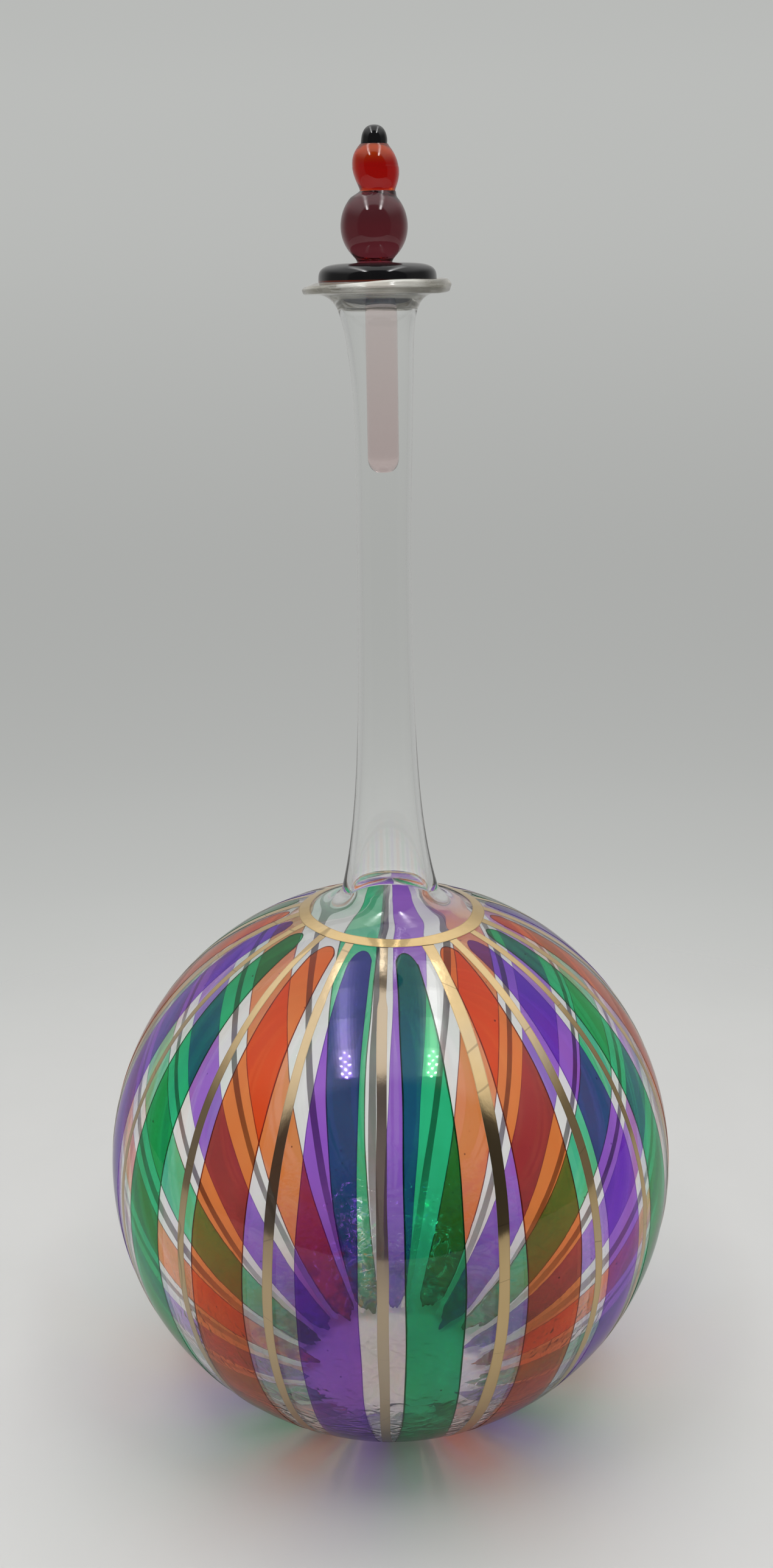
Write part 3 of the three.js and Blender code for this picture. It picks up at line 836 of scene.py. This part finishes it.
def dress_bottle():
    """The bottle: its glass, and the gilding and stains on it."""
    glass = clear_glass()
    gold = gilding()
    piece("bottle_glass", glass_body(), glass, "bottle", "clear_glass", "globe", "neck_tube", "lip_wrap")
    piece("painted_gold_collar", gold_collar(), gold, "bottle", "gilding", "gold_collar")
    stains = {
        "green": stain("green_stain", rgb(0.22, 0.86, 0.60), rgb(0.10, 0.66, 0.39), rgb(0.04, 0.26, 0.10),
                       rgb(0.02, 0.40, 0.18), (0.42, 0.95)),
        "orange": stain("orange_stain", rgb(0.98, 0.58, 0.32), rgb(0.97, 0.43, 0.17), rgb(0.38, 0.05, 0.015),
                        rgb(0.85, 0.18, 0.04), (0.35, 0.85)),
        "purple": stain("purple_stain", rgb(0.72, 0.45, 0.92), rgb(0.46, 0.25, 0.82), rgb(0.26, 0.10, 0.5),
                        rgb(0.20, 0.05, 0.50), (0.25, 0.45)),
    }
    painted = dict.fromkeys(stains, 0)
    for i, (bearing, lean, width, colour, middle, stripe_lean, half) in enumerate(PAINTED):
        painted[colour] += 1
        line = f"gold_line_{i + 1}"
        stripe = f"{colour}_stripe_{painted[colour]}"
        stroke = gold_line(line, bearing, lean, width, THIN_LINES.get(i + 1, 0.1), 100 + i)
        film = stained_stripe(stripe, middle, stripe_lean, half, 200 + i)
        piece(f"painted_{line}", stroke, gold, "bottle", "gilding", line)
        piece(f"painted_{stripe}", film, stains[colour], "bottle", f"{colour}_stain", stripe)


def dress_stopper():
    """The stopper: five gathers of glass fused in a row."""
    black = black_glass()
    piece("glass_disc", stopper_disc(), black, "stopper", "black_glass", "stopper_disc")
    piece("glass_rod", stopper_rod(), pink_glass(), "stopper", "pink_glass", "stopper_rod")
    lower = bead("lower_bead", "stopper_lower_bead", LOWER_BEAD_RADIUS, LOWER_BEAD_BELOW,
                 (LOWER_BEAD_FOOT_RADIUS, UPPER_BEAD_FOOT_RADIUS), LOWER_BEAD_SINKS)
    upper = bead("upper_bead", "stopper_upper_bead", UPPER_BEAD_RADIUS, UPPER_BEAD_BELOW,
                 (UPPER_BEAD_FOOT_RADIUS, TIP_FOOT_RADIUS), UPPER_BEAD_SINKS)
    piece("glass_lower_bead", lower, amethyst_glass(), "stopper", "amethyst_glass", "stopper_lower_bead")
    piece("glass_upper_bead", upper, red_glass(), "stopper", "red_glass", "stopper_upper_bead")
    piece("glass_tip", stopper_tip(), black, "stopper", "black_glass", "stopper_tip")


# Stage: a pale floor that fades into a soft backdrop, lamps and camera. The strips of lamps spread to the
# front from STRIP_SIDE at the bottle, and GLOWS has the place and strength of each stretch of their glow.
FLOOR_RADIUS = 600.0
FLOOR_RINGS = 11
FLOOR_SIDES = 48
FLOOR_LEVEL = -0.25
CEILING = 0.6
TABLE_EDGE = 0.405
STRIP_SIDE = 0.1395
STRIP_SPREAD = 0.091
STRIP_LEAN = 5.2
GLOW_LENGTH = 0.13
GLOWS = ((-0.26, 3.4), (-0.13, 2.2), (0.0, 1.3), (0.13, 0.7))
SPOT_SIZE = 0.009
SPOT_START = -0.322
SPOT_ROW = 0.019
SPOT_COLUMN = 0.016
SPOT_GLOW = 80
SPOT_FADE = 0.8
CAMERA_LENS = 37.03
CAMERA_DOWN = 17.0
CAMERA_ROLL = -0.9
CAMERA_PLACE = (0.0004, -0.3230, 0.2437)
GLOW_STEPS = ((0.026, 1.0), (0.048, 0.78), (0.07, 0.52), (0.092, 0.28), (0.114, 0.1))


def background_ray(build):
    """1 for a ray that shows the backdrop, straight or through glass, and 0 for one that lights or
    mirrors."""
    path = build.node("LightPath")
    return path.math("MAXIMUM", path.out("Is Camera Ray"), path.out("Is Transmission Ray"))


def lay_floor():
    """A flat disc of rings round the foot, with painted light where it is seen through glass and painted
    shade where mirrored. Its outer part fades into the backdrop, and what is mirrored ends at the table's
    front edge."""
    ring = np.linspace(0, 1, FLOOR_RINGS + 1)[1:, None] * FLOOR_RADIUS
    bearing = np.linspace(0, TURN, FLOOR_SIDES, endpoint=False)[None, :]
    points = np.concatenate([around_axis(ring, FLOOR_LEVEL, bearing).reshape(-1, 3), [[0, 0, FLOOR_LEVEL]]])
    j = np.arange(FLOOR_SIDES)
    centre = np.stack([np.full(FLOOR_SIDES, len(points) - 1), j, (j + 1) % FLOOR_SIDES], -1)
    faces = ring_faces(FLOOR_RINGS, FLOOR_SIDES).tolist() + centre.tolist()
    mesh = bpy.data.meshes.new("floor")
    mesh.from_pydata((points * MM).tolist(), [], faces)
    floor = bpy.data.objects.new("floor", mesh)
    bpy.context.scene.collection.objects.link(floor)
    material, build = new_material("pale_floor")
    mottle = noise(build, 25, 3)
    colour = mottle.blend(rgb(0.565, 0.565, 0.555), rgb(0.605, 0.605, 0.595))
    path = build.node("LightPath")
    # painted light: the floor seen through glass is painted paler
    colour = path.out("Is Transmission Ray").blend(colour, rgb(0.63, 0.63, 0.62))
    # painted shade: the floor seen in reflections is painted darker
    mirrored = path.out("Is Glossy Ray") * (1 - path.out("Is Transmission Ray"))
    colour = mirrored.blend(colour, rgb(0.40, 0.40, 0.39))
    paint = build.node("BsdfPrincipled", Base_Color=colour, Roughness=0.6, Specular_IOR_Level=0.2)
    place = build.node("TexCoord").out("Object")
    away = build.node("VectorMath", {"operation": "LENGTH"}, 1, Vector=place).step(0.14, 0.36)
    past_edge = (-build.node("SeparateXYZ", Vector=place).out("Y")).step(TABLE_EDGE, TABLE_EDGE + 0.006)
    gone = past_edge + (away - past_edge) * background_ray(build)
    show(build, gone.shaders(paint, build.node("BsdfTransparent")))
    mesh.materials.append(material)


def light_world():
    """Surroundings: a plain grey sweep for what is seen, and for what lights the glass a light tent, white
    overhead, grey at its back and dim at its sides, with a dark opening at its front."""
    world = bpy.data.worlds.new("light_tent")
    bpy.context.scene.world = world
    world.use_nodes = True
    world.node_tree.nodes.clear()
    build = Wire(world.node_tree)
    towards = build.node("TexCoord").out("Generated")
    split = build.node("SeparateXYZ", Vector=towards)
    depth, rise = split.out("Y"), split.out("Z")
    grey = [
        (-0.68, 0.578), (-0.60, 0.582), (-0.51, 0.645), (-0.46, 0.625), (-0.41, 0.560), (-0.35, 0.510),
        (-0.29, 0.455), (-0.22, 0.418), (-0.12, 0.420), (0.0, 0.470), (0.10, 0.496), (0.15, 0.486),
    ]
    stops = [((r + 1) / 2, (g, g * 1.017, g * 0.99)) for r, g in grey]
    sweep = build.node("ValToRGB", {"stops": stops}, Fac=(rise + 1) / 2)
    opening = (-depth).step(0.46, 0.56)
    walls = depth.step(0.2, 0.8).blend(rgb(0.17, 0.17, 0.167), rgb(0.50, 0.50, 0.49))
    walls = rise.step(0.3, 0.8).blend(walls, rgb(1.0, 1.0, 0.99))
    tent = opening.blend(walls, rgb(0.045, 0.045, 0.047))
    shade = background_ray(build).blend(tent, sweep)
    build.node("OutputWorld", Surface=build.node("Background", Color=shade, Strength=1.0))


def hang_lamp(name, place, size, energy, turn=0.0, mirrored=True, tilt=0):
    """A flat lamp that looks down, or tilted by some degrees to the back, its place and size in metres. A
    lamp that isn't mirrored lights the scene but isn't seen in the glass."""
    lamp = bpy.data.lights.new(name, "AREA")
    lamp.shape = "RECTANGLE"
    lamp.size, lamp.size_y = size
    lamp.energy = energy
    obj = bpy.data.objects.new(name, lamp)
    obj.location = place
    obj.rotation_euler = (math.radians(tilt), 0, turn)
    obj.visible_camera = False
    obj.visible_glossy = obj.visible_transmission = mirrored
    bpy.context.scene.collection.objects.link(obj)


def hang_lamps():
    """Two strips overhead, running from front to back: a soft glow that is mirrored in the glass, brighter
    towards the front, rows of small bright spots at its front end, and a broad panel for the light that
    they cast."""
    hang_lamp("panel", (0, -0.03, CEILING + 0.02), (0.55, 0.55), 1.0, mirrored=False)
    hang_lamp("front_panel", (0, -0.55, 0.36), (0.5, 0.4), 1.0, mirrored=False, tilt=57)
    for name, side in (("left", -1), ("right", 1)):
        lean = side * math.radians(STRIP_LEAN)
        for i, (y, glow) in enumerate(GLOWS):
            middle = side * (STRIP_SIDE - STRIP_SPREAD * y)
            for ring, (width, share) in enumerate(GLOW_STEPS):
                place = (middle, y, CEILING - 0.006 + 0.001 * ring)
                energy = share * glow * math.pi * width * GLOW_LENGTH
                hang_lamp(f"{name}_glow_{i}_{ring}", place, (width, GLOW_LENGTH), energy, lean)
        for row in range(7):
            for column in range(-1, 2):
                if (row + column) % 2 == 0:
                    y = SPOT_START + SPOT_ROW * row
                    middle = side * (STRIP_SIDE - STRIP_SPREAD * y)
                    place = (middle + SPOT_COLUMN * column, y, CEILING - 0.008)
                    energy = SPOT_GLOW * SPOT_FADE ** row * math.pi * SPOT_SIZE ** 2
                    hang_lamp(f"{name}_spot_{row}_{column + 1}", place, (SPOT_SIZE, SPOT_SIZE), energy)


def set_camera():
    """The camera of the photograph: level with the lip, in front of the bottle, looking down at the globe."""
    lens = bpy.data.cameras.new("camera")
    lens.lens, lens.sensor_width = CAMERA_LENS, 36.0
    lens.clip_start = 0.01
    camera = bpy.data.objects.new("camera", lens)
    pitch, roll = math.radians(90 - CAMERA_DOWN), math.radians(CAMERA_ROLL)
    turn = Matrix.Rotation(pitch, 4, "X") @ Matrix.Rotation(roll, 4, "Z")
    camera.rotation_euler = turn.to_euler()
    camera.location = CAMERA_PLACE
    bpy.context.scene.collection.objects.link(camera)
    bpy.context.scene.camera = camera


dress_bottle()
dress_stopper()
lay_floor()
light_world()
hang_lamps()
set_camera()

scene = bpy.context.scene
scene.view_settings.view_transform = "Standard"
scene.cycles.max_bounces = 24
scene.cycles.transmission_bounces = 24
scene.cycles.transparent_max_bounces = 40
